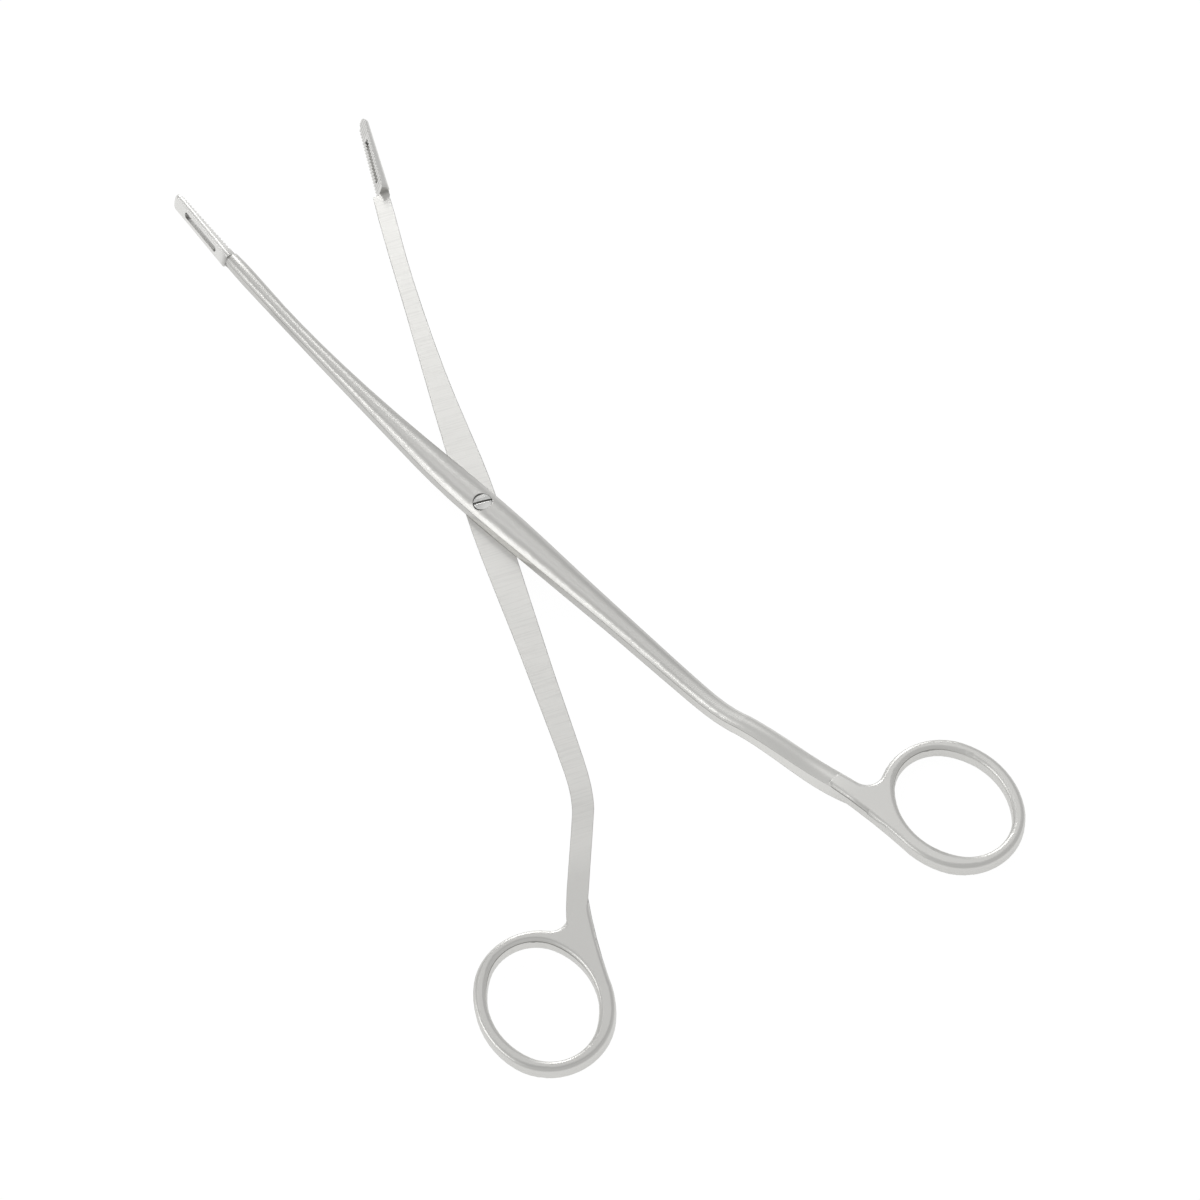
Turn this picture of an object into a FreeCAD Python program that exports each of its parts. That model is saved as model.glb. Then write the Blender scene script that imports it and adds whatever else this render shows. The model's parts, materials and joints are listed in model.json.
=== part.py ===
"""Gallstone forceps: two ring-handled arms that cross at one slotted pivot screw.

Frame: millimetres, +Z up along the pivot axis, +X from the pivot to the jaws with the arms opened
evenly about it.  Z = 0 is the flat underside of the pivot screw.
Each arm is built lying along its own X axis, ground mating face down on its own Z = 0 and crowned
side up, with its finger ring on the -Y side.  The lower arm is then turned over.
"""
import FreeCAD
import Part
import Sketcher
import math
import os

Vector = FreeCAD.Vector
Rotation = FreeCAD.Rotation
Placement = FreeCAD.Placement
X_AXIS = Vector(1, 0, 0)
Z_AXIS = Vector(0, 0, 1)

# Driving sizes, in millimetres and degrees
SIZES = {
    "open_angle": 11.5,            # each arm, away from the closed position
    "mating_height": 3.05,         # mating plane above the screw's underside
    "mating_gap": 0.04,            # play between the two ground faces
    "curve_start": 10.0,           # where the shanks begin to curve sideways
    "curve_radius": 860.0,
    "flank_draft": 0.35,           # the side narrows by this from mating face to crease
    "screw_radius": 1.3,
    "head_radius": 1.85,
    "head_height": 1.15,
    "head_dome": 0.12,
    "slot_width": 0.5,
    "slot_depth": 0.55,
    "slot_angle": 75.0,
    "screw_top": 2.85,             # crown of the head over the mating plane
    "pivot_clearance": 0.05,
    "recess_clearance": 0.1,
    "jaw_along": 86.0,             # pivot to the line where shank and jaw meet
    "jaw_length": 21.5,
    "jaw_height": 3.8,
    "jaw_root": 2.0,               # thickness where it leaves the shank
    "jaw_tip": 1.25,               # thickness where the end begins to round off
    "jaw_nose": 2.2,               # length of that rounded end
    "jaw_twist": 23.0,             # lean of both gripping faces about the jaw's length
    "jaw_gap": 0.12,               # each face short of the closing plane
    "back_round": 0.75,
    "shoulder_gap": 0.5,           # between one arm's shoulder and the other arm's jaw
    "shoulder_slope": 1.7,         # length of the sloped end of the shank beside the jaw
    "heel_overlap": 0.8,           # how far the jaw runs back into its shank
    "fairing_length": 11.0,        # stretch of shank over which the jaw's back fades away
    "fairing_skin": 0.06,          # how far the fairing's ends lie inside jaw and shank
    "tooth_pitch": 0.95,
    "tooth_depth": 0.34,
    "tooth_count": 21,
    "tooth_start": 0.9,
    "window_start": 4.0,           # the long opening through the jaw
    "window_length": 11.5,
    "window_width": 1.3,
    "ring_height": 3.5,
    "hole_long": 12.2,             # half lengths of the finger hole
    "hole_short": 9.6,
    "rim_end": 2.2,                # thickness of the ring at its ends and along its sides
    "rim_side": 2.7,
    "hole_end": 0.7,               # 1 rounds an oval's ends as an ellipse's, 0 as a circle's
    "ring_end": 0.45,
    "ring_shift": 0.3,             # the ring is this much thicker on the shank's side
    "round_share": 0.43,           # rounding of the ring's edges, as a share of its thickness
    "neck_reach": 18.6,            # from the ring's middle back to the start of the neck
    "neck_inset": 0.4,             # the neck starts this much narrower than the handle
    "neck_sink": 0.75,             # the neck's length, as a share of the ring's half length
    "neck_bow": 0.8,               # how soon its inner edge swings out to the ring, 0 to 1
    "neck_round": 3.0,             # concave round between handle and ring
    "cut_reach": 20.0,             # length of every cut that goes right through an arm
}

# Sizes that follow from others: half lengths of the ring's outline, and its rounding
FOLLOWING = {
    "ring_long": "=hole_long + rim_end",
    "ring_short": "=hole_short + rim_side",
    "ring_round": "=rim_end * round_share",
}

# Shank sections from the jaw to the handle: distance from the pivot towards the jaws, offset of
# the middle to the ring's side, width of the mating face, full height, and rise of the crown.
# The shoulder is placed by its distance behind the jaw and the neck by the ring, and the handle
# runs on inside the neck by the run-in's distance.
STATIONS = {
    "shoulder": (0.25, -0.25, 3.45, 1.95, 0.85),
    "stem": (69.0, -0.26, 3.5, 2.05, 0.87),
    "slender": (52.0, -0.28, 3.68, 2.15, 0.9),
    "waist": (40.0, -0.22, 4.2, 2.35, 1.0),
    "taper": (26.0, -0.15, 5.25, 2.6, 1.2),
    "front": (10.0, -0.05, 6.6, 2.95, 1.4),
    "rear": (-9.0, 0.5, 6.7, 2.95, 1.4),
    "grip": (-27.0, 0.82, 5.6, 2.85, 1.25),
    "tail": (-45.0, 1.2, 4.75, 2.75, 1.15),
    "bend": (-61.0, 1.5, 4.3, 2.7, 1.1),
    "handle": (-72.0, 3.05, 4.3, 2.9, 1.1),
    "neck": (0.0, 0.0, 4.3, 3.5, 0.6),
    "run_in": (6.0, 0.0, 3.3, 3.4, 0.6),
}
STATION_FIELDS = ("along", "side", "width", "height", "crown")

# What differs between the two arms, each in its own frame: side of the curve, length from the
# start of the handle to the ring's middle, ring's distance to the side, its slant in degrees, height
# of its middle over the mating plane, and distance from there in to the middle of the neck
ARMS = {
    "upper": {"curve_side": 1, "ring_run": 37.8, "ring_out": 20.3, "ring_slant": 4.8,
              "ring_level": -2.2, "neck_in": 12.3},
    "lower": {"curve_side": -1, "ring_run": 34.5, "ring_out": 21.9, "ring_slant": 6.5,
              "ring_level": 0.6, "neck_in": 12.7},
}

# Steps of the handle from the mating plane to the ring's level, as shares of its length
HANDLE_STEPS = (0.25, 0.5, 0.75, 1.0)

doc = FreeCAD.newDocument("forceps")
sheet = doc.addObject("Spreadsheet::Sheet", "Sizes")


def fill_sheet():
    rows = dict(SIZES)
    for station, values in STATIONS.items():
        rows.update({station + "_" + field: value for field, value in zip(STATION_FIELDS, values)})
    for arm, values in ARMS.items():
        rows.update({arm + "_" + field: value for field, value in values.items()})
    rows.update(FOLLOWING)
    for row, (alias, value) in enumerate(rows.items(), start=1):
        sheet.set("A%d" % row, alias)
        sheet.set("B%d" % row, str(value))
        sheet.setAlias("B%d" % row, alias)
    doc.recompute()


def size(alias):
    return float(getattr(sheet, alias))


def bind(thing, prop, formula):
    """Tie one property to the sheet; a formula writes names of cells in braces."""
    thing.setExpression(prop, formula.replace("{", "Sizes.").replace("}", ""))


def new_sketch(body, name, place):
    """A sketch on the body's own base plane, moved and turned to its place."""
    plane = next(item for item in body.Origin.OriginFeatures if item.Role == "XY_Plane")
    sketch = body.newObject("Sketcher::SketchObject", name)
    sketch.AttachmentSupport = [(plane, "")]
    sketch.MapMode = "FlatFace"
    sketch.AttachmentOffset = place
    return sketch


def limit(sketch, name, formula, kind, *places):
    """Add a measured constraint, started near its value and tied to the sheet."""
    index = sketch.addConstraint(Sketcher.Constraint(kind, *places))
    sketch.renameConstraint(index, name)
    bind(sketch, "Constraints." + name, formula)


def join_corners(sketch, count):
    for line in range(count):
        sketch.addConstraint(Sketcher.Constraint("Coincident", line, 2, (line + 1) % count, 1))


def polygon(sketch, points):
    corners = [Vector(x, y, 0) for x, y in points]
    for start, end in zip(corners, corners[1:] + corners[:1]):
        sketch.addGeometry(Part.LineSegment(start, end), False)
    join_corners(sketch, len(corners))


def circle(sketch, name, formula, radius):
    sketch.addGeometry(Part.Circle(Vector(0, 0, 0), Z_AXIS, radius), False)
    sketch.addConstraint(Sketcher.Constraint("Coincident", 0, 3, -1, 1))
    limit(sketch, name, formula, "Radius", 0, radius)


def oval(sketch, long_half, short_half, end_share):
    """An oval about the sketch's origin, of four arcs that run smoothly into each other."""
    cells = {"long": "{%s}" % long_half, "short": "{%s}" % short_half, "share": "{%s}" % end_share}
    cells["end"] = "(%(share)s * %(short)s ^ 2 / %(long)s + (1 - %(share)s) * %(short)s)" % cells
    cells["side"] = ("(((%(long)s - %(end)s) ^ 2 + %(short)s ^ 2 - %(end)s ^ 2)"
                     " / (2 * (%(short)s - %(end)s)))" % cells)
    long, short, share = size(long_half), size(short_half), size(end_share)
    end = share * short ** 2 / long + (1 - share) * short
    side = ((long - end) ** 2 + short ** 2 - end ** 2) / (2 * (short - end))
    turn = math.atan2(side - short, long - end)
    arcs = ((long - end, 0, end, -turn, turn), (0, short - side, side, turn, math.pi - turn),
            (end - long, 0, end, math.pi - turn, math.pi + turn),
            (0, side - short, side, math.pi + turn, 2 * math.pi - turn))
    for x, y, radius, begin, finish in arcs:
        whole = Part.Circle(Vector(x, y, 0), Z_AXIS, radius)
        sketch.addGeometry(Part.ArcOfCircle(whole, begin, finish), False)
    for arc, axis in ((0, -1), (1, -2), (2, -1)):
        sketch.addConstraint(Sketcher.Constraint("Coincident", arc, 2, arc + 1, 1))
        sketch.addConstraint(Sketcher.Constraint("PointOnObject", arc, 3, axis))
    sketch.addConstraint(Sketcher.Constraint("Coincident", 3, 2, 0, 1))
    sketch.addConstraint(Sketcher.Constraint("Vertical", 0, 1, 0, 2))
    sketch.addConstraint(Sketcher.Constraint("Horizontal", 1, 1, 1, 2))
    sketch.addConstraint(Sketcher.Constraint("Vertical", 2, 1, 2, 2))
    sketch.addConstraint(Sketcher.Constraint("Equal", 0, 2))
    sketch.addConstraint(Sketcher.Constraint("Equal", 1, 3))
    limit(sketch, "end_radius", cells["end"], "Radius", 0, end)
    limit(sketch, "end_place", "%(long)s - %(end)s" % cells, "DistanceX", -1, 1, 0, 3, long - end)
    limit(sketch, "side_radius", cells["side"], "Radius", 1, side)
    limit(sketch, "joint", "%(end)s * (%(side)s - %(short)s) / (%(side)s - %(end)s)" % cells,
          "DistanceY", -1, 1, 0, 2, end * math.sin(turn))


def curve_offset(arm, along):
    """Sideways shift of a shank at a distance from the pivot, towards the ring's side."""
    past = max(0.0, along - size("curve_start"))
    return size(arm + "_curve_side") * past ** 2 / (2 * size("curve_radius"))


def blended(field, start, end, share):
    """Formula and value of a section's size, at a share of the way between two stations."""
    first, last = start + "_" + field, end + "_" + field
    formula = "({%s} + ({%s} - {%s}) * %.2f)" % (first, last, first, share)
    return formula, size(first) + (size(last) - size(first)) * share


def cross_section(body, name, station, along, out, level, towards=None, share=0.0):
    """A flat foot, drafted flanks and a crowned top, on a plane across the arm.

    `out` is the middle's distance to the ring's side and `level` the height of the foot.  Its
    sizes lie a `share` of the way from `station` to the station `towards`.
    """
    across = Rotation(Z_AXIS, 90) * Rotation(X_AXIS, 90)
    sketch = new_sketch(body, name, Placement(Vector(along, -out, level), across))
    sizes = [blended(field, station, towards or station, share) for field in STATION_FIELDS[2:]]
    (width_cell, width), (height_cell, height), (crown_cell, crown) = sizes
    half, top_half = width / 2, width / 2 - size("flank_draft")
    crease = height - crown
    radius = (top_half ** 2 + crown ** 2) / (2 * crown)
    sweep = math.asin(top_half / radius)
    arch = Part.Circle(Vector(0, height - radius, 0), Z_AXIS, radius)
    sketch.addGeometry(Part.LineSegment(Vector(-half, 0, 0), Vector(half, 0, 0)), False)
    sketch.addGeometry(Part.LineSegment(Vector(half, 0, 0), Vector(top_half, crease, 0)), False)
    sketch.addGeometry(Part.ArcOfCircle(arch, math.pi / 2 - sweep, math.pi / 2 + sweep), False)
    sketch.addGeometry(Part.LineSegment(Vector(-top_half, crease, 0), Vector(-half, 0, 0)), False)
    join_corners(sketch, 4)
    sketch.addConstraint(Sketcher.Constraint("PointOnObject", 0, 1, -1))
    sketch.addConstraint(Sketcher.Constraint("Symmetric", 0, 1, 0, 2, -2))
    sketch.addConstraint(Sketcher.Constraint("Symmetric", 1, 2, 3, 1, -2))
    limit(sketch, "foot", width_cell, "DistanceX", 0, 1, 0, 2, width)
    limit(sketch, "draft", "{flank_draft}", "DistanceX", 1, 2, 1, 1, half - top_half)
    limit(sketch, "crease", "%s - %s" % (height_cell, crown_cell), "DistanceY", -1, 1, 1, 2, crease)
    cells = {"width": width_cell, "crown": crown_cell}
    limit(sketch, "arch", "((%(width)s / 2 - {flank_draft}) ^ 2 + %(crown)s ^ 2)"
          " / (2 * %(crown)s)" % cells, "Radius", 2, radius)
    return sketch


def loft(body, name, sections):
    doc.recompute()
    feature = body.newObject("PartDesign::AdditiveLoft", name)
    feature.Profile = sections[0]
    feature.Sections = sections[1:]
    feature.Ruled = False
    doc.recompute()
    return feature


def add_shank(body, arm):
    """The flat-ground shank, from the shoulder behind the jaw to the start of the handle."""
    foot = size("mating_gap") / 2
    sections = []
    for station in STATIONS:
        if station in ("neck", "run_in"):
            continue
        along = size(station + "_along")
        if station == "shoulder":
            along = size("jaw_along") - along
        out = size(station + "_side") + curve_offset(arm, along)
        sections.append(cross_section(body, arm + "_" + station, station, along, out, foot))
    loft(body, arm + "_shank", sections)


def ring_along(arm):
    """Distance of the ring's middle behind the pivot."""
    return size(arm + "_ring_run") - size("handle_along")


def neck_along(arm):
    return ring_along(arm) - size("neck_reach")


def neck_out(arm):
    return size(arm + "_ring_out") - size(arm + "_neck_in")


def handle_slope(arm):
    """Sideways travel of the handle's middle for each millimetre towards the ring."""
    return (neck_out(arm) - size("handle_side")) / (neck_along(arm) + size("handle_along"))


def add_handle(body, arm):
    """The handle behind the bend, which eases from the mating plane to the ring's level."""
    start, out = size("handle_along"), size("handle_side")
    foot = size("mating_gap") / 2
    end = -neck_along(arm)
    end_level = size(arm + "_ring_level") - size("ring_height") / 2
    sections = [cross_section(body, arm + "_handle_start", "handle", start, out, foot)]
    for step in HANDLE_STEPS:
        ease = step * step * (3 - 2 * step)
        along = start + (end - start) * step
        side = out + (neck_out(arm) - out) * step
        level = foot + (end_level - foot) * ease
        name = "%s_handle_%d" % (arm, 100 * step)
        sections.append(cross_section(body, name, "handle", along, side, level, "neck", ease))
    run_in = size("run_in_along")
    side = neck_out(arm) + handle_slope(arm) * run_in
    sections.append(cross_section(body, arm + "_run_in", "run_in", end - run_in, side, end_level))
    loft(body, arm + "_handle", sections)


def ring_frame(arm, shift, level):
    """Placement of the ring's ovals: centred on the ring and turned by its slant."""
    centre = Vector(-ring_along(arm), -size(arm + "_ring_out") + shift, level)
    return Placement(centre, Rotation(Z_AXIS, -size(arm + "_ring_slant")))


def pad(body, name, sketch, length):
    doc.recompute()
    feature = body.newObject("PartDesign::Pad", name)
    feature.Profile = sketch
    bind(feature, "Length", length)
    doc.recompute()
    return feature


def pocket_both_ways(body, name, sketch):
    doc.recompute()
    feature = body.newObject("PartDesign::Pocket", name)
    feature.Profile = sketch
    feature.Type = "Length"
    feature.Midplane = True
    bind(feature, "Length", "{cut_reach}")
    doc.recompute()
    return feature


def fillet(body, name, edges, radius):
    base = body.Tip
    feature = body.newObject("PartDesign::Fillet", name)
    feature.Base = (base, edges)
    bind(feature, "Radius", "{%s}" % radius)
    doc.recompute()
    return feature


def edges_where(shape, test):
    return ["Edge%d" % number for number, edge in enumerate(shape.Edges, start=1) if test(edge)]


def middle(edge):
    return edge.valueAt((edge.FirstParameter + edge.LastParameter) / 2)


def add_ring(body, arm):
    """The finger ring and the neck that joins it to the handle, rounded all over."""
    bottom = size(arm + "_ring_level") - size("ring_height") / 2
    top = bottom + size("ring_height")
    disc = new_sketch(body, arm + "_ring_outline", ring_frame(arm, size("ring_shift"), bottom))
    oval(disc, "ring_long", "ring_short", "ring_end")
    pad(body, arm + "_ring", disc, "{ring_height}")

    # The neck runs from the handle's end, along the ring's thick side, and into the ring
    start, half = -neck_along(arm), size("neck_width") / 2 - size("neck_inset")
    inner, outer = neck_out(arm) - half, neck_out(arm) + half
    along, out = ring_along(arm), size(arm + "_ring_out")
    side = out - size("ring_shift") - size("ring_short")
    slope = handle_slope(arm)
    reach = size("neck_sink") * size("ring_long")
    neck = new_sketch(body, arm + "_neck_outline", Placement(Vector(0, 0, bottom), Rotation()))
    bow = Vector(start - reach, -(inner + (side - inner) * size("neck_bow")), 0)
    first, touch = Vector(start, -inner, 0), Vector(-along, -side, 0)
    inside, past = Vector(-along, -out, 0), Vector(start - reach, -outer - slope * reach, 0)
    last = Vector(start, -outer, 0)
    neck.addGeometry(Part.Arc(first, bow, touch), False)
    for begin, end in ((touch, inside), (inside, past), (past, last), (last, first)):
        neck.addGeometry(Part.LineSegment(begin, end), False)
    pad(body, arm + "_neck", neck, "{ring_height}")

    def in_crotch(edge):
        place = middle(edge)
        on_line = abs(-place.y - outer - slope * (start - place.x)) < size("neck_inset") / 10
        return abs(edge.tangentAt(edge.FirstParameter).z) > 0.99 and on_line and place.x < start - half
    fillet(body, arm + "_crotch", edges_where(body.Shape, in_crotch), "neck_round")

    hole = new_sketch(body, arm + "_finger_hole", ring_frame(arm, 0, bottom))
    oval(hole, "hole_long", "hole_short", "hole_end")
    pocket_both_ways(body, arm + "_hole", hole)

    def on_rim(edge):
        flat = all(min(abs(vertex.Z - bottom), abs(vertex.Z - top)) < 1e-4 for vertex in edge.Vertexes)
        level = abs(edge.Vertexes[0].Z - edge.Vertexes[-1].Z) < 1e-4
        return flat and level and middle(edge).x < start - size("neck_inset") / 10
    fillet(body, arm + "_ring_round", edges_where(body.Shape, on_rim), "ring_round")


def jaw_frame(arm):
    """Frame of a jaw: X along it, the closing plane at Y = 0, turned with the curved shank."""
    along = size("jaw_along")
    turn = math.degrees(math.atan((along - size("curve_start")) / size("curve_radius")))
    base = Vector(along, -curve_offset(arm, along), 0)
    rotation = Rotation(Z_AXIS, -size(arm + "_curve_side") * turn) * Rotation(X_AXIS, size("jaw_twist"))
    return Placement(base, rotation)


def upright(distance):
    """A plane that stands along X and Z, at a distance along Y."""
    return Placement(Vector(0, distance, 0), Rotation(X_AXIS, 90))


def add_jaw(body, arm):
    """The jaw: a tapered blank, a long window, and rows of teeth across its gripping face."""
    frame = jaw_frame(arm)
    length, half = size("jaw_length"), size("jaw_height") / 2
    blank = new_sketch(body, arm + "_jaw_outline", frame.multiply(upright(size("jaw_gap"))))
    centre, heel = length - half, size("heel_overlap")
    nose = Part.Circle(Vector(centre, 0, 0), Z_AXIS, half)
    blank.addGeometry(Part.LineSegment(Vector(-heel, -half, 0), Vector(centre, -half, 0)), False)
    blank.addGeometry(Part.ArcOfCircle(nose, -math.pi / 2, math.pi / 2), False)
    blank.addGeometry(Part.LineSegment(Vector(centre, half, 0), Vector(-heel, half, 0)), False)
    blank.addGeometry(Part.LineSegment(Vector(-heel, half, 0), Vector(-heel, -half, 0)), False)
    blank.addConstraint(Sketcher.Constraint("Tangent", 0, 2, 1, 1))
    blank.addConstraint(Sketcher.Constraint("Tangent", 1, 2, 2, 1))
    blank.addConstraint(Sketcher.Constraint("Coincident", 2, 2, 3, 1))
    blank.addConstraint(Sketcher.Constraint("Coincident", 3, 2, 0, 1))
    blank.addConstraint(Sketcher.Constraint("Horizontal", 0))
    blank.addConstraint(Sketcher.Constraint("Horizontal", 2))
    blank.addConstraint(Sketcher.Constraint("Symmetric", 3, 1, 3, 2, -1))
    limit(blank, "tip", "{jaw_length} - {jaw_height} / 2", "DistanceX", -1, 1, 1, 3, centre)
    limit(blank, "tall", "{jaw_height}", "DistanceY", 3, 2, 3, 1, 2 * half)
    limit(blank, "heel", "{heel_overlap}", "DistanceX", 3, 2, -1, 1, heel)
    jaw = pad(body, arm + "_jaw", blank, "{jaw_root} - {jaw_gap}")
    jaw.Reversed = True
    doc.recompute()

    # The back tapers from the shank and rounds off towards the tip
    root, tip, nose_start = size("jaw_root"), size("jaw_tip"), length - size("jaw_nose")
    edge = size("jaw_gap") + size("tooth_depth")
    back = new_sketch(body, arm + "_jaw_back", frame)
    turn, end = Vector(nose_start, tip, 0), Vector(length, edge, 0)
    bow = Vector((nose_start + 2 * length) / 3, (2 * tip + edge) / 3, 0)
    outer = Vector(length + root, edge, 0), Vector(length + root, 2 * root, 0), Vector(0, 2 * root, 0)
    start = Vector(0, root, 0)
    back.addGeometry(Part.LineSegment(start, turn), False)
    back.addGeometry(Part.Arc(turn, bow, end), False)
    for begin, finish in ((end, outer[0]), (outer[0], outer[1]), (outer[1], outer[2]), (outer[2], start)):
        back.addGeometry(Part.LineSegment(begin, finish), False)
    pocket_both_ways(body, arm + "_jaw_taper", back)

    to_frame = frame.inverse()

    def on_back(item):
        place = to_frame.multVec(middle(item))
        return place.x > heel / 10 and place.y > edge / 2 + size("jaw_gap")
    fillet(body, arm + "_back_round", edges_where(body.Shape, on_back), "back_round")

    window = new_sketch(body, arm + "_window_outline", frame.multiply(upright(0)))
    begin, wide = size("window_start"), size("window_width") / 2
    finish = begin + size("window_length")
    ends = Part.Circle(Vector(finish, 0, 0), Z_AXIS, wide), Part.Circle(Vector(begin, 0, 0), Z_AXIS, wide)
    window.addGeometry(Part.LineSegment(Vector(begin, -wide, 0), Vector(finish, -wide, 0)), False)
    window.addGeometry(Part.ArcOfCircle(ends[0], -math.pi / 2, math.pi / 2), False)
    window.addGeometry(Part.LineSegment(Vector(finish, wide, 0), Vector(begin, wide, 0)), False)
    window.addGeometry(Part.ArcOfCircle(ends[1], math.pi / 2, 3 * math.pi / 2), False)
    pocket_both_ways(body, arm + "_window", window)

    # One groove between two teeth, repeated along the jaw; the lower jaw's are half a pitch on
    land = size("tooth_pitch") / 8
    begin = size("tooth_start") + (size("tooth_pitch") / 2 if arm == "lower" else 0)
    finish = begin + size("tooth_pitch") - land
    floor, face = size("jaw_gap") + size("tooth_depth"), size("jaw_gap") - size("tooth_depth")
    groove = new_sketch(body, arm + "_groove_outline", frame)
    reach = (finish - begin) / 2
    polygon(groove, [(begin - reach, face), (finish + reach, face), ((begin + finish) / 2, floor)])
    cut = pocket_both_ways(body, arm + "_groove", groove)
    teeth = body.newObject("PartDesign::LinearPattern", arm + "_teeth")
    teeth.Originals = [cut]
    teeth.Direction = (groove, ["H_Axis"])
    bind(teeth, "Length", "{tooth_pitch} * ({tooth_count} - 1)")
    bind(teeth, "Occurrences", "{tooth_count}")
    body.Tip = teeth
    doc.recompute()

    # Clearance under the heel, where the other arm's shank ends
    heel_cut = new_sketch(body, arm + "_heel_outline", upright(0))
    front = size("jaw_along") + size("shoulder_gap") / 2
    back_end = size("jaw_along") - 2 * size("heel_overlap")
    foot = size("mating_gap") / 2
    polygon(heel_cut, [(back_end, -size("jaw_height")), (front, -size("jaw_height")),
                       (front, foot), (back_end, foot)])
    pocket_both_ways(body, arm + "_heel", heel_cut)


def add_fairing(body, arm):
    """The jaw's back fades into the shank, so that its ridge runs on into the crease."""
    skin, foot = size("fairing_skin"), size("mating_gap") / 2
    root, half = size("jaw_root") - skin, size("jaw_height") / 2 - skin
    lean = math.radians(size("jaw_twist"))

    def leaned(deep, high):
        """Sideways and upward place of a point of the jaw's section."""
        return (deep * math.cos(lean) - high * math.sin(lean), deep * math.sin(lean) + high * math.cos(lean))
    gap, round_off = size("jaw_gap") + skin, size("back_round")
    drop = (root * math.sin(lean) - foot) / math.cos(lean)
    jaw_side = [(0, foot), leaned(root, -drop), leaned(root, half - round_off),
                leaned(root - round_off, half), leaned(gap, half)]
    along = size("jaw_along") + skin
    far = size("jaw_along") - size("fairing_length")
    width, height, crown = (size("stem_" + field) for field in STATION_FIELDS[2:])
    crease = height - crown - skin
    top_half = width / 2 - size("flank_draft") - skin
    shank_side = [(0, foot), (top_half, foot), (top_half, crease / 2), (top_half, crease), (0, height - crown / 2)]
    across = Rotation(Z_AXIS, 90) * Rotation(X_AXIS, 90)
    sections = []
    for name, place, points in (("jaw_end", along, jaw_side), ("shank_end", far, shank_side)):
        out = curve_offset(arm, place) + (size("stem_side") if name == "shank_end" else 0)
        sketch = new_sketch(body, arm + "_" + name, Placement(Vector(place, -out, 0), across))
        polygon(sketch, points)
        sections.append(sketch)
    doc.recompute()
    feature = body.newObject("PartDesign::AdditiveLoft", arm + "_fairing")
    feature.Profile = sections[0]
    feature.Sections = sections[1:]
    feature.Ruled = True
    doc.recompute()


def slope_shoulder(body, arm):
    """The shank's end slopes down beside the jaw, in front of the gripping face."""
    slope = size("shoulder_slope")
    height = size("shoulder_height") + size("mating_gap")
    wedge = new_sketch(body, arm + "_slope_outline", jaw_frame(arm).multiply(upright(size("jaw_gap"))))
    polygon(wedge, [(-slope, height), (slope, height - slope), (slope, 2 * height), (-slope, 2 * height)])
    pocket_up(body, arm + "_slope", wedge)


def pocket_up(body, name, sketch):
    doc.recompute()
    feature = body.newObject("PartDesign::Pocket", name)
    feature.Profile = sketch
    feature.Type = "Length"
    feature.Reversed = True
    bind(feature, "Length", "{cut_reach}")
    doc.recompute()


def make_arm(name, arm):
    body = doc.addObject("PartDesign::Body", name)
    body.Label = name
    add_ring(body, arm)
    add_jaw(body, arm)
    add_shank(body, arm)
    add_fairing(body, arm)
    slope_shoulder(body, arm)
    add_handle(body, arm)
    return body


def bore_arm(body, arm, radius):
    bore = new_sketch(body, arm + "_bore_outline", Placement())
    circle(bore, "bore", radius[0], radius[1])
    pocket_both_ways(body, arm + "_bore", bore)


def head_seat():
    """Height of the head's underside over the mating plane."""
    return size("screw_top") - size("head_dome") - size("head_height")


def make_upper_arm():
    body = make_arm("upper_arm", "upper")
    bore_arm(body, "upper", ("{screw_radius} + {pivot_clearance}",
                             size("screw_radius") + size("pivot_clearance")))
    seat = head_seat() - size("mating_gap")
    recess = new_sketch(body, "upper_recess_outline", Placement(Vector(0, 0, seat), Rotation()))
    circle(recess, "recess", "{head_radius} + {recess_clearance}",
           size("head_radius") + size("recess_clearance"))
    pocket_up(body, "upper_recess", recess)
    body.Placement = Placement(Vector(0, 0, size("mating_height")), Rotation(Z_AXIS, size("open_angle")))
    return body


def make_lower_arm():
    body = make_arm("lower_arm", "lower")
    bore_arm(body, "lower", ("{screw_radius}", size("screw_radius")))
    turned = Rotation(Z_AXIS, -size("open_angle")) * Rotation(X_AXIS, 180)
    body.Placement = Placement(Vector(0, 0, size("mating_height")), turned)
    return body


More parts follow.
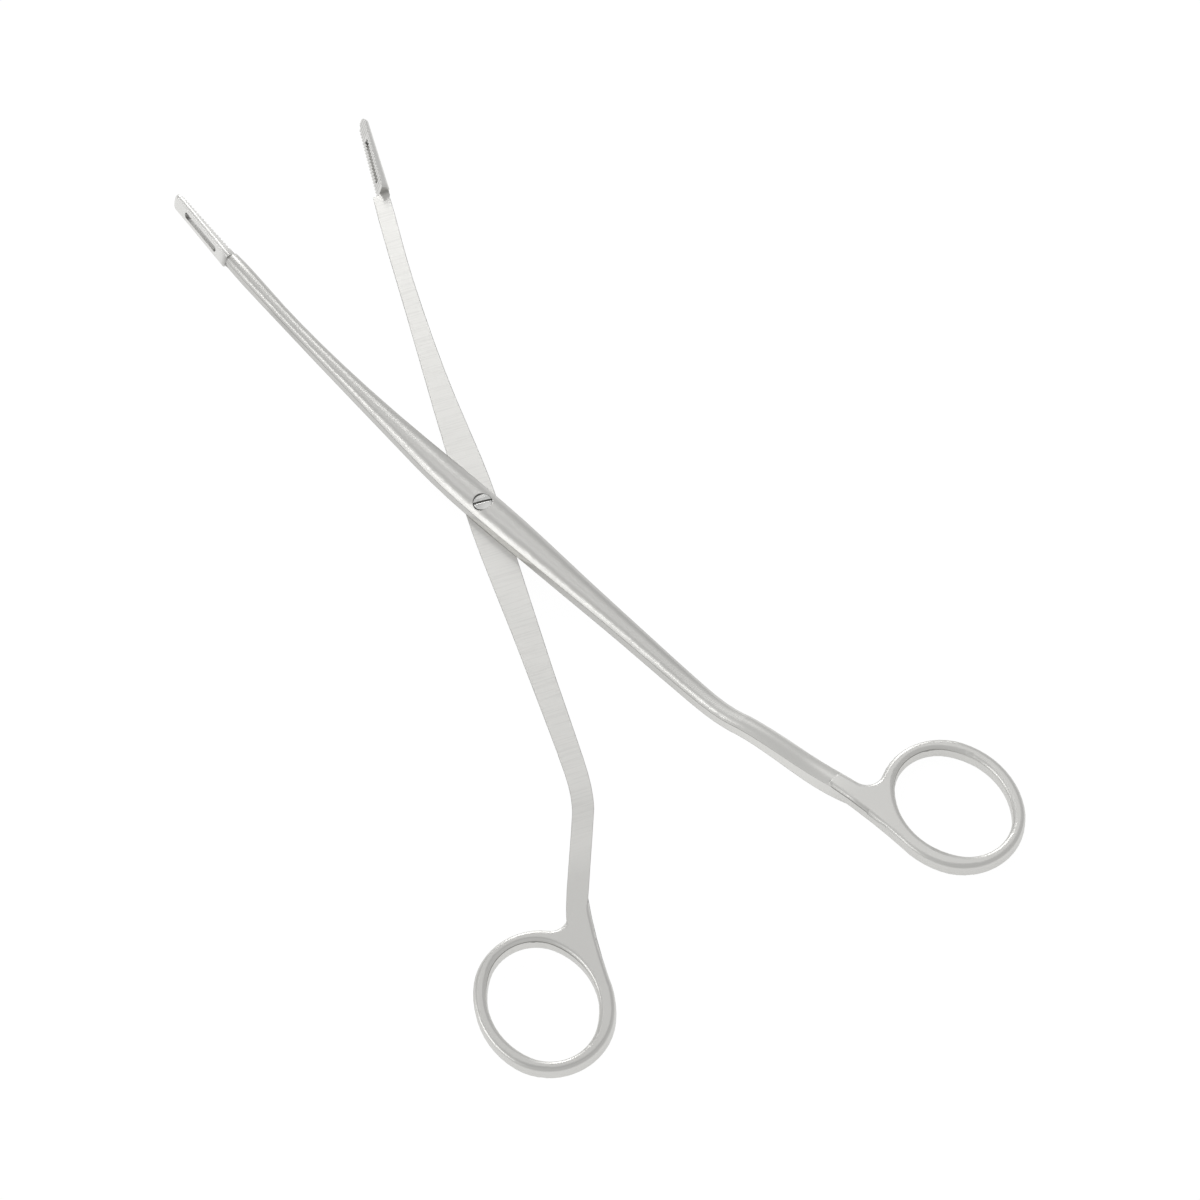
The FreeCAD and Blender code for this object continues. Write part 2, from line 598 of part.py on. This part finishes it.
def make_screw():
    """The pivot screw: a shank held in the lower arm, and a slotted, slightly domed head."""
    body = doc.addObject("PartDesign::Body", "pivot_screw")
    body.Label = "pivot_screw"
    shank, head, seat = size("screw_radius"), size("head_radius"), head_seat()
    rim, top, foot = seat + size("head_height"), size("screw_top"), -size("mating_height")
    profile = new_sketch(body, "screw_profile", upright(0))
    dome_radius = (head ** 2 + size("head_dome") ** 2) / (2 * size("head_dome"))
    middle_angle = math.pi / 2 - math.asin(head / dome_radius) / 2
    bow = Vector(dome_radius * math.cos(middle_angle),
                 top - dome_radius + dome_radius * math.sin(middle_angle), 0)
    points = [Vector(0, foot, 0), Vector(shank, foot, 0), Vector(shank, seat, 0),
              Vector(head, seat, 0), Vector(head, rim, 0)]
    for begin, end in zip(points, points[1:]):
        profile.addGeometry(Part.LineSegment(begin, end), False)
    profile.addGeometry(Part.Arc(points[-1], bow, Vector(0, top, 0)), False)
    profile.addGeometry(Part.LineSegment(Vector(0, top, 0), points[0]), False)
    join_corners(profile, 6)
    doc.recompute()
    turned = body.newObject("PartDesign::Revolution", "screw_blank")
    turned.Profile = profile
    turned.ReferenceAxis = (profile, ["V_Axis"])
    turned.Angle = 360
    doc.recompute()
    slot = new_sketch(body, "slot_outline", Placement(Vector(0, 0, top - size("slot_depth")), Rotation()))
    long, wide = 2 * head, size("slot_width") / 2
    polygon(slot, [(-long, -wide), (long, -wide), (long, wide), (-long, wide)])
    pocket_up(body, "screw_slot", slot)
    body.Placement = Placement(Vector(0, 0, size("mating_height")), Rotation(Z_AXIS, size("slot_angle")))
    return body


def check_and_export(bodies):
    for item in doc.Objects:
        if "Invalid" in item.State or "Error" in item.State:
            raise RuntimeError("%s did not build" % item.Name)
    os.makedirs("parts", exist_ok=True)
    for body in bodies:
        shape = body.Shape
        if shape.isNull() or not shape.isValid() or len(shape.Solids) != 1:
            raise RuntimeError("%s is not one sound solid" % body.Label)
        shape.exportStep("parts/%s.step" % body.Label)
        print(body.Label, "%.1f mm3" % shape.Volume, shape.BoundBox)


fill_sheet()
check_and_export([make_upper_arm(), make_lower_arm(), make_screw()])
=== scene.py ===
# %% [markdown]
# Gallstone forceps, dressed for a studio photograph
#
# The real tool is two long steel arms that cross at one slotted screw. The metal has a satin finish,
# and the two inner faces, where the arms meet, are ground flat. The CAD model already has every form,
# so nothing is modelled here. This lesson is about metal: how soft edges, grinding lines and a white
# studio turn a plain grey solid into steel.

# %% Load the frame
import json
import math

import bpy
from mathutils import Matrix, Vector


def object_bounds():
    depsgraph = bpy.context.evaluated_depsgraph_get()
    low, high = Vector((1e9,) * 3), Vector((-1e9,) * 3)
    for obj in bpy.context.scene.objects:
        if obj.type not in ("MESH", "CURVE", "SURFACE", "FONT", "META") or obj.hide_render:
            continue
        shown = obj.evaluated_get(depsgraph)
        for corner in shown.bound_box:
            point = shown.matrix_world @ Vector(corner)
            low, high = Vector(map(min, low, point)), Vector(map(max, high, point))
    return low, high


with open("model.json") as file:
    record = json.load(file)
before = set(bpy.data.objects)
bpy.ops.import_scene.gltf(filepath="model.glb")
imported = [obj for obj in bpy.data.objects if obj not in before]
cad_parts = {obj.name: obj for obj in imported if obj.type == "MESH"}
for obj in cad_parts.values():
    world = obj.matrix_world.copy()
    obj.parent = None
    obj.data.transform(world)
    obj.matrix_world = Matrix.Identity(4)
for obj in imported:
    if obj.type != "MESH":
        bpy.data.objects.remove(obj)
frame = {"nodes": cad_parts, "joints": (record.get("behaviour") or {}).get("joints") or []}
cad_box = [list(corner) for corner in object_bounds()]
MM = 0.001
UPPER_ARM = frame["nodes"]["upper_arm"]
LOWER_ARM = frame["nodes"]["lower_arm"]
PIVOT_SCREW = frame["nodes"]["pivot_screw"]
print("the open forceps is %.0f mm long" % ((cad_box[1][0] - cad_box[0][0]) / MM))

# %% [markdown]
# Where things are
#
# Patterns on the metal follow each arm, so the script needs the angle at which each arm lies. The
# arms open evenly about the X axis, with the jaws on its positive side. The angle could be measured
# in the mesh, but it is a value of the design, so it is written here. The place of the joint, where
# the two ground faces meet, is read from the frame.

# %% Arms and joint
ARM_ANGLE = math.radians(11.5)
JOINT = Vector(frame["joints"][0]["pos_m"])
print("each arm is turned %.1f degrees" % math.degrees(ARM_ANGLE))
print("the ground faces meet %.2f mm up" % (JOINT.z / MM))

# %% [markdown]
# Helpers for nodes
#
# A material is a network of small nodes. It could be joined up one socket at a time, but that takes
# many lines and hides what the network does. These helpers add a node and set or join its sockets by
# name, so that each network below reads as a list of what it is made of.

# %% Adding and joining nodes
def feed(tree, socket, value):
    """Give a socket a plain value, or link it to the output of another node."""
    if isinstance(value, bpy.types.NodeSocket):
        tree.links.new(value, socket)
    else:
        socket.default_value = value


def wire(tree, node, **values):
    """Set up a node by name. A name with a capital is a socket, and any other is a setting."""
    for name, value in values.items():
        if name[0].isupper():
            feed(tree, node.inputs[name.replace("_", " ")], value)
        else:
            setattr(node, name, value)
    return node


def add_node(tree, kind, **values):
    return wire(tree, tree.nodes.new(kind), **values)


# %% [markdown]
# Masks
#
# A mask is a number from 0 to 1 that says how much of a finish a place has. Most masks here are a
# fade between two places or two directions. Where two masks are multiplied, a finish shows only
# where both of them allow it.

# %% Sums and masks
def math_node(tree, operation, *values):
    """One sum, in which each value is a number or the output of another node."""
    node = add_node(tree, "ShaderNodeMath", operation=operation)
    for socket, value in zip(node.inputs, values):
        feed(tree, socket, value)
    return node.outputs[0]


def product(tree, first, *others):
    for other in others:
        first = math_node(tree, "MULTIPLY", first, other)
    return first


def fade(tree, value, start, end):
    """A mask that goes smoothly from 0 at start to 1 at end."""
    node = add_node(tree, "ShaderNodeMapRange", interpolation_type="SMOOTHSTEP",
                    Value=value, From_Min=start, From_Max=end)
    return node.outputs["Result"]


# %% [markdown]
# Shared finishes
#
# A finish that several materials use could be copied into each of them, but then every change has to
# be made as many times. A node group is built once and placed in each material, with its own values
# on its named inputs.

# %% An empty group
FLOAT, VECTOR = "NodeSocketFloat", "NodeSocketVector"


def node_group(name, inputs, outputs):
    """A group with its sockets and nothing in it yet; each label is given with its kind."""
    tree = bpy.data.node_groups.new(name, "ShaderNodeTree")
    for in_out, sockets in (("INPUT", inputs), ("OUTPUT", outputs)):
        for label, kind in sockets.items():
            tree.interface.new_socket(label, in_out=in_out, socket_type=kind)
    return tree


# %% [markdown]
# Soft edges
#
# No edge of a polished tool is perfectly sharp, and a rounded edge catches a thin line of light. The
# edges could be rounded in the mesh, with thousands of new faces. A Bevel node only bends the light
# at each edge as if it were rounded off by a fifth of a millimetre. The teeth are so fine that this
# would melt them together, so the softness goes down to a twentieth of a millimetre at the jaws.

# %% Group: soft edges and hollows
EDGE_SOFTNESS, TOOTH_SOFTNESS = 0.2 * MM, 0.05 * MM
JAW_START, JAW_BLEND = 83.5 * MM, 3 * MM
EDGE_RAYS = 16

soft_edges = node_group("soft edges", {}, {"Normal": VECTOR, "Hollow": FLOAT})
place = add_node(soft_edges, "ShaderNodeTexCoord").outputs["Object"]
along_x = add_node(soft_edges, "ShaderNodeSeparateXYZ", Vector=place)
at_jaw = fade(soft_edges, along_x.outputs["X"], JAW_START - JAW_BLEND, JAW_START)
softness = math_node(soft_edges, "MULTIPLY_ADD", at_jaw, TOOTH_SOFTNESS - EDGE_SOFTNESS,
                     EDGE_SOFTNESS)
rounded = add_node(soft_edges, "ShaderNodeBevel", samples=EDGE_RAYS, Radius=softness)
print("edges soften by %.2f mm, teeth by %.2f mm" % (EDGE_SOFTNESS / MM, TOOTH_SOFTNESS / MM))

# %% [markdown]
# Painted shade in the hollows
#
# The roots of the teeth, the window of the jaw, the screw's recess and its slot get painted
# shade: their colour is made darker where less light reaches. They could be painted one by one. An
# Ambient Occlusion node finds them all by itself, because it measures how much of the space around a
# point is closed in by the same piece.

# %% Hollows, and the end of the group
HOLLOW_REACH = 1.5 * MM
HOLLOW_SHADE = (0.94, 0.5)
HOLLOW_RAYS = 12

openness = add_node(soft_edges, "ShaderNodeAmbientOcclusion", samples=HOLLOW_RAYS, only_local=True,
                    Distance=HOLLOW_REACH)
# Hollow is the mask of painted shade: the more a point is closed in, the darker its colour is painted.
add_node(soft_edges, "NodeGroupOutput", Normal=rounded.outputs["Normal"],
         Hollow=fade(soft_edges, openness.outputs["AO"], *HOLLOW_SHADE))
print(soft_edges.name, "is a group of", len(soft_edges.nodes), "nodes")

# %% [markdown]
# Blasted grain
#
# A satin finish comes from glass beads, which leave tiny dents about a tenth of a millimetre wide.
# They are far too small to see one by one, but they make a highlight break up softly. A picture of
# grain would need a map of the surface, while a noise in the metal itself needs none and has no
# seams. A second and slower noise makes some places a little duller than others, as handling does.

# %% Group: satin grain
DENTS_PER_METRE, PATCHES_PER_METRE = 9000, 110
DENT_DEPTH = 0.0003 * MM
GRAIN_DETAIL = 1.0

grain = node_group("satin grain", {"Normal": VECTOR}, {"Normal": VECTOR, "Dullness": FLOAT})
source = add_node(grain, "NodeGroupInput")
place = add_node(grain, "ShaderNodeTexCoord").outputs["Object"]
dents = add_node(grain, "ShaderNodeTexNoise", Vector=place, Scale=DENTS_PER_METRE,
                 Detail=GRAIN_DETAIL)
patches = add_node(grain, "ShaderNodeTexNoise", Vector=place, Scale=PATCHES_PER_METRE,
                   Detail=GRAIN_DETAIL)
dented = add_node(grain, "ShaderNodeBump", Distance=DENT_DEPTH, Strength=1.0,
                  Height=dents.outputs["Fac"], Normal=source.outputs["Normal"])
add_node(grain, "NodeGroupOutput", Normal=dented.outputs["Normal"], Dullness=patches.outputs["Fac"])
print(grain.name, "has a dent every %.2f mm" % (1 / DENTS_PER_METRE / MM))

# %% [markdown]
# Finding places on an arm
#
# The rest of the finish follows the shape of an arm: its ground face, its back, its handle and its
# jaw. These could be painted by hand on each face, but both arms are mirrored pieces of one design,
# so it is enough to know how far along the arm a point lies and which way its surface looks. The
# arm's own angle is turned back first, and X then runs along the arm from the pivot to the jaw.

# %% Places and directions on an arm
FLAT_FACING = (0.85, 0.96)
GROUND_FADE = (-90 * MM, -62 * MM)


def along_arm(tree, angle):
    """X runs along the arm, Y across it and Z up."""
    place = add_node(tree, "ShaderNodeTexCoord")
    turned = add_node(tree, "ShaderNodeVectorRotate", rotation_type="Z_AXIS",
                      Vector=place.outputs["Object"], Angle=product(tree, angle, -1.0))
    return add_node(tree, "ShaderNodeSeparateXYZ", Vector=turned.outputs["Vector"])


def inner_face(tree, side):
    """Where the surface looks squarely at the other arm, which lies above (1) or below (-1)."""
    place = add_node(tree, "ShaderNodeTexCoord")
    facing = add_node(tree, "ShaderNodeSeparateXYZ", Vector=place.outputs["Normal"])
    return fade(tree, product(tree, facing.outputs["Z"], side), *FLAT_FACING)


def ground_face(tree, on_arm, inner):
    """The inner face as far as it is ground; the grinding fades out along the handle."""
    return product(tree, inner, fade(tree, on_arm.outputs["X"], *GROUND_FADE))


# %% Group: arm finish
finish = node_group(
    "arm finish", {"Angle": FLOAT, "Side": FLOAT, "Normal": VECTOR},
    {"Normal": VECTOR, "Ground": FLOAT, "Crease": FLOAT, "Lines": FLOAT, "Handle": FLOAT,
     "Heel": FLOAT, "Jaw": FLOAT})
source = add_node(finish, "NodeGroupInput")
on_arm = along_arm(finish, source.outputs["Angle"])
inner = inner_face(finish, source.outputs["Side"])
ground = ground_face(finish, on_arm, inner)
print("the ground face fades out from %.0f to %.0f mm" % (GROUND_FADE[1] / MM, GROUND_FADE[0] / MM))

# %% [markdown]
# Painted shade along the crease
#
# The flanks of an arm meet its crowned back in a long crease, and a thin line of painted shade runs
# along it. It could be drawn as a curve on the arm, but the curve would have to follow the taper and
# every bend. So it is found by direction: the crease is where the softened surface leans about
# halfway between the back and the flank.

# %% Crease of an arm
CREASE_LOW, CREASE_HIGH = (0.27, 0.34), (0.56, 0.46)
CREASE_STARTS, CREASE_ENDS = (-106 * MM, -98 * MM), (87 * MM, 84 * MM)

to_object = add_node(finish, "ShaderNodeVectorTransform", vector_type="NORMAL",
                     convert_from="WORLD", convert_to="OBJECT", Vector=source.outputs["Normal"])
leaning = add_node(finish, "ShaderNodeSeparateXYZ", Vector=to_object.outputs["Vector"])
lean = math_node(finish, "ABSOLUTE", leaning.outputs["Z"])
# The mask of the painted shade along the crease.
crease = product(
    finish, fade(finish, lean, *CREASE_LOW), fade(finish, lean, *CREASE_HIGH),
    fade(finish, on_arm.outputs["X"], *CREASE_STARTS), fade(finish, on_arm.outputs["X"], *CREASE_ENDS))
print("the crease runs from %.0f to %.0f mm" % (CREASE_STARTS[1] / MM, CREASE_ENDS[1] / MM))

# %% [markdown]
# Handle, heel and jaw
#
# The outside of the handle and the jaw get a painted sheen, a lighter colour than the rest of an arm,
# and the ring is halfway between. The heel is the short stretch where the jaw starts, and its hollows
# get less painted shade than those of the teeth. Each could be a material of its own, but then a hard
# line would part them, so they are masks that fade into one another along the arm.

# %% Masks along an arm
HANDLE_FADE = (-50 * MM, -80 * MM)
RING_FADE, RING_SHARE = (-98 * MM, -88 * MM), 0.5
HEEL_STARTS, HEEL_ENDS = (82 * MM, 83 * MM), (88.5 * MM, 86.5 * MM)
JAW_FADE = (85 * MM, 88 * MM)

# The handle and jaw masks place the painted sheen, and the heel mask holds back painted shade.
past_ring = math_node(finish, "MULTIPLY_ADD", fade(finish, on_arm.outputs["X"], *RING_FADE),
                      1 - RING_SHARE, RING_SHARE)
outside = fade(finish, inner, 1.0, 0.0)
handle = product(finish, past_ring, fade(finish, on_arm.outputs["X"], *HANDLE_FADE), outside)
heel = product(finish, fade(finish, on_arm.outputs["X"], *HEEL_STARTS),
               fade(finish, on_arm.outputs["X"], *HEEL_ENDS))
jaw = fade(finish, on_arm.outputs["X"], *JAW_FADE)
print("the handle is lightest past %.0f mm and the jaw past %.0f mm"
      % (HANDLE_FADE[1] / MM, JAW_FADE[1] / MM))

# %% [markdown]
# Grinding lines
#
# The wheel that ground the inner face left fine lines that run across the arm. Modelled lines would
# be far too many, so they are a noise that changes fast along the arm and slowly across it, which
# draws each of its spots out into a line. The noise both bumps the surface and darkens it a little.

# %% Lines across the ground face, and the end of the group
LINES_PER_MM, LINE_STRETCH = 3.5, 40
LINE_DETAIL, LINE_BREAKS = 3.0, 0.7
LINE_DEPTH = 0.0016 * MM
LINE_SHADE = (0.48, 0.62)

fast, slow = LINES_PER_MM / MM, LINES_PER_MM / LINE_STRETCH / MM
stretched = add_node(finish, "ShaderNodeCombineXYZ", X=product(finish, on_arm.outputs["X"], fast),
                     Y=product(finish, on_arm.outputs["Y"], slow),
                     Z=product(finish, on_arm.outputs["Z"], slow))
lines = add_node(finish, "ShaderNodeTexNoise", Vector=stretched.outputs["Vector"], Scale=1.0,
                 Detail=LINE_DETAIL, Roughness=LINE_BREAKS)
scratched = add_node(finish, "ShaderNodeBump", Distance=LINE_DEPTH, Strength=ground,
                     Height=lines.outputs["Fac"], Normal=source.outputs["Normal"])
dark_lines = product(finish, ground, fade(finish, lines.outputs["Fac"], *LINE_SHADE))
add_node(finish, "NodeGroupOutput", Normal=scratched.outputs["Normal"], Ground=ground, Crease=crease,
         Lines=dark_lines, Handle=handle, Heel=heel, Jaw=jaw)
print(finish.name, "is a group of", len(finish.nodes), "nodes")

# %% [markdown]
# Colours of the steel
#
# Steel has almost no colour of its own, so its tones are greys with a trace of warmth. One dark tone
# is laid over them wherever a mask says so, as thinly or as strongly as each mark needs: painted shade
# in the hollows and the crease, and the grinding lines. A second set of colours for the dark places
# would do the same with more numbers to keep in step.

# %% Laying one colour over another
PAINTED_SHADE_AND_LINE_DARK = (0.09, 0.088, 0.082, 1)


def mix_colours(tree, share, under, over):
    """Lay one colour over another. The node's sockets for colours have identifiers of their own."""
    node = add_node(tree, "ShaderNodeMix", data_type="RGBA")
    sockets = {socket.identifier: socket for socket in (*node.inputs, *node.outputs)}
    feed(tree, sockets["Factor_Float"], share)
    feed(tree, sockets["A_Color"], under)
    feed(tree, sockets["B_Color"], over)
    return sockets["Result_Color"]


def darkened(tree, colour, layers):
    """Lay the dark tone over a colour, once for each mask and its strength: painted shade and grinding
    lines.
    """
    for mask, strength in layers:
        colour = mix_colours(tree, product(tree, mask, strength), colour, PAINTED_SHADE_AND_LINE_DARK)
    return colour


# %% [markdown]
# Satin metal
#
# Every steel on the tool starts the same way, so one function puts the soft edges and the grain in a
# new metal and lets its roughness wander a little. What is special to a piece is added afterwards,
# and a second function then puts the steel on the piece, in place of whatever it wore before.

# %% The start of every steel
DULL_SPREAD = 0.06


def start_steel(name, roughness):
    """A new metal with the two shared groups in it; its colour is still to be joined."""
    material = bpy.data.materials.new(name)
    material.use_nodes = True
    tree = material.node_tree
    edges = add_node(tree, "ShaderNodeGroup", node_tree=soft_edges)
    satin = add_node(tree, "ShaderNodeGroup", node_tree=grain, Normal=edges.outputs["Normal"])
    wandering = math_node(tree, "MULTIPLY_ADD", satin.outputs["Dullness"], DULL_SPREAD,
                          roughness - DULL_SPREAD / 2)
    wire(tree, tree.nodes["Principled BSDF"], Metallic=1.0, Roughness=wandering,
         Normal=satin.outputs["Normal"])
    return material, edges.outputs["Hollow"], satin.outputs["Normal"], wandering


def dress(piece, material):
    piece.data.materials.clear()
    piece.data.materials.append(material)
    print(piece.name, "is made of", material.name)


# %% [markdown]
# The ground face as a mirror
#
# Fine lines spread light only across themselves. On the ground face they run across the arm, so what
# it mirrors is drawn out along the arm, and a lamp beyond the jaws whitens much of its length. Bumps
# as fine as the real lines would be too small for a picture, so the metal is made anisotropic there.
# The mask of the ground face is built again in the material for it, because a shared group feeds
# only what an export can read: colours, roughness and bumps.

# %% Drawing a reflection out
GROUND_DRAW = 0.9


def draw_out(tree, angle, side):
    """Stretch what the ground face mirrors along the arm."""
    ground = ground_face(tree, along_arm(tree, angle), inner_face(tree, side))
    lengthwise = add_node(tree, "ShaderNodeVectorTransform", vector_type="VECTOR",
                          convert_from="OBJECT", convert_to="WORLD",
                          Vector=(math.cos(angle), math.sin(angle), 0))
    wire(tree, tree.nodes["Principled BSDF"], Anisotropic=product(tree, ground, GROUND_DRAW),
         Tangent=lengthwise.outputs["Vector"])


# %% [markdown]
# Steel of an arm
#
# An arm is one forging, so it has one material with all of its marks in it. The colour is laid in
# layers: satin first, then the painted sheen of the handle and jaw, then the painted shade of the
# hollows and the crease, and the dark grinding lines. The ground face is also a little smoother than
# the rest. The two arms differ only in their angle and in the side on which the other arm lies.

# %% Arm steel
SATIN_COLOUR, SATIN_ROUGH = (0.66, 0.655, 0.635, 1), 0.38
# Lighter colours painted on the handle and the jaw as a painted sheen.
HANDLE_SHEEN_COLOUR, JAW_SHEEN_COLOUR = (0.82, 0.815, 0.79, 1), (0.85, 0.845, 0.825, 1)
GROUND_ROUGH = 0.3
# Strengths of the painted shade in the hollows and along the crease, and of the grinding lines.
PAINTED_HOLLOW_SHADE, PAINTED_CREASE_SHADE, LINE_TONE = 0.9, 0.65, 0.08
# How much of the hollows' painted shade is held back at the heel.
HEEL_SHARE = 0.8


def arm_steel(name, angle, side):
    material, hollow, normal, roughness = start_steel(name, SATIN_ROUGH)
    tree = material.node_tree
    marks = add_node(tree, "ShaderNodeGroup", node_tree=finish, Angle=angle, Side=side, Normal=normal)
    # Painted sheen on the handle and jaw; below, painted shade in the hollows and along the crease.
    with_handle_sheen = mix_colours(tree, marks.outputs["Handle"], SATIN_COLOUR, HANDLE_SHEEN_COLOUR)
    with_jaw_sheen = mix_colours(tree, marks.outputs["Jaw"], with_handle_sheen, JAW_SHEEN_COLOUR)
    off_heel = math_node(tree, "MULTIPLY_ADD", marks.outputs["Heel"], -HEEL_SHARE, 1.0)
    colour = darkened(tree, with_jaw_sheen, [
        (product(tree, hollow, off_heel), PAINTED_HOLLOW_SHADE), (marks.outputs["Crease"], PAINTED_CREASE_SHADE),
        (marks.outputs["Lines"], LINE_TONE)])
    smoother = math_node(tree, "MULTIPLY_ADD", marks.outputs["Ground"], GROUND_ROUGH - SATIN_ROUGH,
                         roughness)
    wire(tree, tree.nodes["Principled BSDF"], Base_Color=colour, Roughness=smoother,
         Normal=marks.outputs["Normal"])
    draw_out(tree, angle, side)
    return material


dress(UPPER_ARM, arm_steel("satin steel, upper arm", ARM_ANGLE, -1.0))
dress(LOWER_ARM, arm_steel("satin steel, lower arm", -ARM_ANGLE, 1.0))

# %% [markdown]
# Steel of the screw
#
# The screw is turned and not forged, and it is a little smoother and lighter than the arms. It could
# wear the arms' steel, but that has marks that run along an arm. So the screw has its own, with only
# the shared groups and painted shade in its slot.

# %% Screw steel
SCREW_COLOUR, SCREW_ROUGH, PAINTED_SLOT_SHADE = (0.7, 0.7, 0.685, 1), 0.25, 0.5


def screw_steel(name):
    material, hollow, *_ = start_steel(name, SCREW_ROUGH)
    tree = material.node_tree
    # Painted shade in the slot, from the hollow mask.
    wire(tree, tree.nodes["Principled BSDF"],
         Base_Color=darkened(tree, SCREW_COLOUR, [(hollow, PAINTED_SLOT_SHADE)]))
    return material


dress(PIVOT_SCREW, screw_steel("screw steel"))

# %% [markdown]
# The table
#
# The photograph shows the tool on plain white. A floor could be lit until it turns white, but so
# much light would burn out the metal too. This floor is pale paper with a glow that only the camera
# and the reflections in the metal see, so it looks white without brighter lamps. A share of plain
# paper stays in it, and with it a trace of the tool's shadow.

# %% Table
TABLE_SIZE, TABLE_GAP = 6.0, 0.1 * MM
PAPER_COLOUR, PAPER_ROUGH = (0.9, 0.9, 0.9, 1), 0.9
PAPER_GLOW, CAMERA_SHARE, MIRROR_SHARE = 1.06, 0.9, 0.6

bpy.ops.object.select_all(action="DESELECT")
bpy.ops.mesh.primitive_plane_add(size=TABLE_SIZE, location=(0, 0, cad_box[0][2] - TABLE_GAP))
table = bpy.context.object
table.name = "table"

paper = bpy.data.materials.new("white paper")
paper.use_nodes = True
tree = paper.node_tree
plain = wire(tree, tree.nodes["Principled BSDF"], Base_Color=PAPER_COLOUR, Roughness=PAPER_ROUGH)
glow = add_node(tree, "ShaderNodeEmission", Strength=PAPER_GLOW)
path = add_node(tree, "ShaderNodeLightPath")
share = math_node(tree, "MAXIMUM", product(tree, path.outputs["Is Camera Ray"], CAMERA_SHARE),
                  product(tree, path.outputs["Is Glossy Ray"], MIRROR_SHARE))
blend = add_node(tree, "ShaderNodeMixShader")
for socket, value in zip(blend.inputs, (share, plain.outputs["BSDF"], glow.outputs["Emission"])):
    feed(tree, socket, value)
wire(tree, tree.nodes["Material Output"], Surface=blend.outputs["Shader"])
table.data.materials.append(paper)
print("the table lies %.2f mm up" % (table.location.z / MM))

# %% [markdown]
# The room
#
# A metal with nothing around it mirrors black. The room is an even grey, darker than the paper, so
# that the sides of the arms are neither black nor lost against the white.

# %% World
ROOM_GREY = (0.58, 0.58, 0.58, 1)

world = bpy.data.worlds.new("studio")
world.use_nodes = True
wire(world.node_tree, world.node_tree.nodes["Background"], Color=ROOM_GREY, Strength=1.0)
bpy.context.scene.world = world
print("the %s is %.2f grey" % (world.name, ROOM_GREY[0]))

# %% [markdown]
# Light
#
# Metal shows mostly what it mirrors, so its lamps are large soft boxes, each placed for what it
# draws. The box low down beyond the jaws is the one that the ground face draws out. A strip at the
# side and two weak boxes above light the rounded backs, the rings and the screw. A lamp's power
# could be set in watts, but a larger lamp would then look dimmer, so the helper takes how bright it
# looks instead, and 1 is as bright as white paper.

# %% Lamps
LAMP_DISTANCE = 1.0


def soft_box(name, towards, size, brightness):
    """A rectangular lamp that stands in a direction from the pivot and looks back at it."""
    direction = Vector(towards).normalized()
    bpy.ops.object.light_add(type="AREA", location=direction * LAMP_DISTANCE)
    lamp = bpy.context.object
    lamp.name = name
    lamp.data.shape = "RECTANGLE"
    lamp.data.size, lamp.data.size_y = size
    lamp.data.energy = brightness * math.pi * size[0] * size[1]
    lamp.rotation_euler = direction.to_track_quat("Z", "Y").to_euler()
    print("%s: %.2f W" % (name, lamp.data.energy))


soft_box("low far box", (0.867, -0.288, 0.407), (0.3, 0.43), 4.0)
soft_box("side strip", (0.292, 0.835, 0.468), (0.7, 0.14), 3.8)
soft_box("overhead", (0.424, 0.187, 0.885), (0.3, 0.3), 0.75)
soft_box("over the handles", (0.25, -0.27, 0.93), (0.46, 0.46), 0.4)

# %% [markdown]
# Camera
#
# The camera looks down on the tool from the side of the handles. Its place, its roll and its lens
# were fitted to the photograph together, by laying known places of the model over the same places
# in the picture. They could be guessed by eye, but then the arms would look a little too long or too
# short. The view is Standard, which shows a colour about as it is written.

# %% Camera
VIEW_AZIMUTH, VIEW_ELEVATION, VIEW_ROLL = 245.5, 56.0, -6.4
VIEW_DISTANCE = 0.6243
SENSOR_MM, LENS_MM = 36, 97.4
AIM = Vector((-0.0307, -0.00875, JOINT.z))

azimuth, elevation = math.radians(VIEW_AZIMUTH), math.radians(VIEW_ELEVATION)
back = Vector((math.sin(azimuth) * math.cos(elevation), -math.cos(azimuth) * math.cos(elevation),
               math.sin(elevation)))
bpy.ops.object.camera_add(location=AIM + back * VIEW_DISTANCE)
camera = bpy.context.object
camera.name = "photographer"
camera.data.sensor_width = SENSOR_MM
camera.data.lens = LENS_MM
level = (-back).to_track_quat("-Z", "Y").to_matrix()
camera.rotation_euler = (level @ Matrix.Rotation(math.radians(VIEW_ROLL), 3, "Z")).to_euler()
bpy.context.scene.camera = camera
bpy.context.scene.view_settings.view_transform = "Standard"
print("the camera is %.0f mm above the joint" % ((camera.location.z - JOINT.z) / MM))
